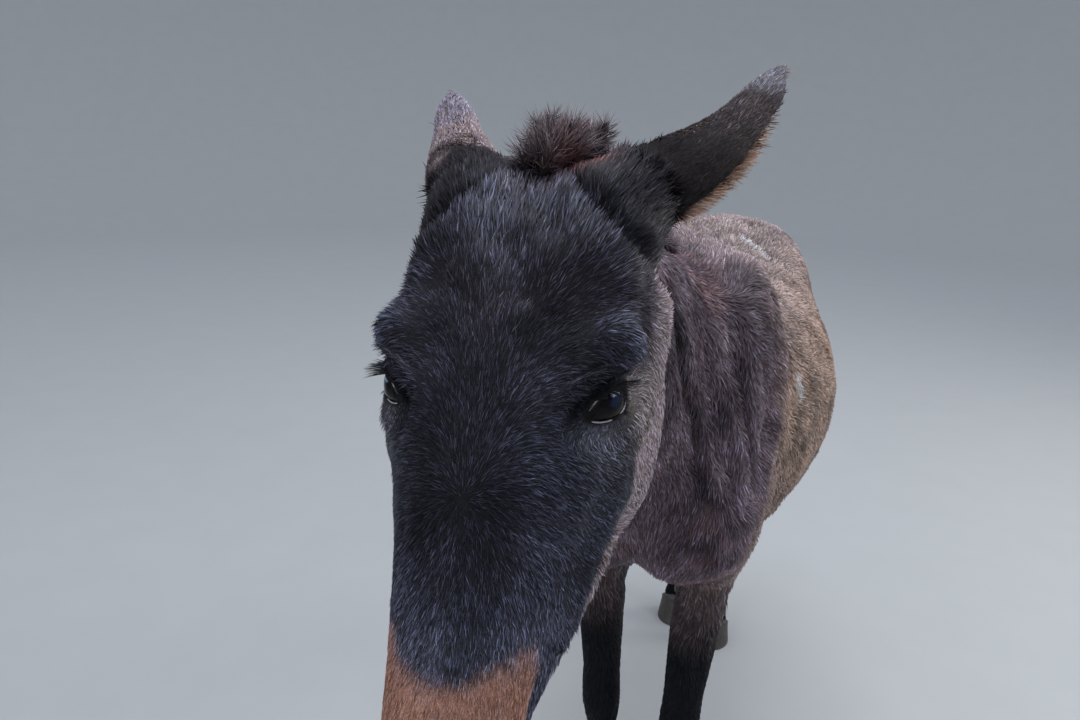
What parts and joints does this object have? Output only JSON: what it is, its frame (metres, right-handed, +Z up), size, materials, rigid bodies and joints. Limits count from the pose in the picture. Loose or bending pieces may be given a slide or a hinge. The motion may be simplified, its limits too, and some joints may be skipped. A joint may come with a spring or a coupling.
{
  "type": "mule",
  "caption": "Life-size dark mule standing still on its hooves, head held out and down, long ears laid back, short brush of a mane and a full tail.",
  "frame": {"origin": "on the floor, under the middle of the bounding box", "axes": "+Z up, the mule faces -Y, its left side is +X"},
  "size_m": [0.5494, 2.0142, 1.4752],
  "materials": {
    "coat_face": "short glossy fur, near black",
    "coat_neck": "short winter fur, dark brown",
    "coat_body": "short clumped winter fur, grey brown",
    "coat_legs": "short fur, near black",
    "hair": "coarse hair, near black",
    "eye": "wet and glossy",
    "horn": "dull horn"
  },
  "bodies": {
    "root": {"head": "coat_face", "ear_left": "coat_face", "ear_right": "coat_face", "neck": "coat_neck", "torso": "coat_body", "fore_leg_left": "coat_legs", "fore_leg_right": "coat_legs", "hind_leg_left": "coat_legs", "hind_leg_right": "coat_legs", "mane": "hair", "tail": "hair", "eye_left": "eye", "eye_right": "eye", "fore_hoof_left": "horn", "fore_hoof_right": "horn", "hind_hoof_left": "horn", "hind_hoof_right": "horn"}
  },
  "joints": []
}
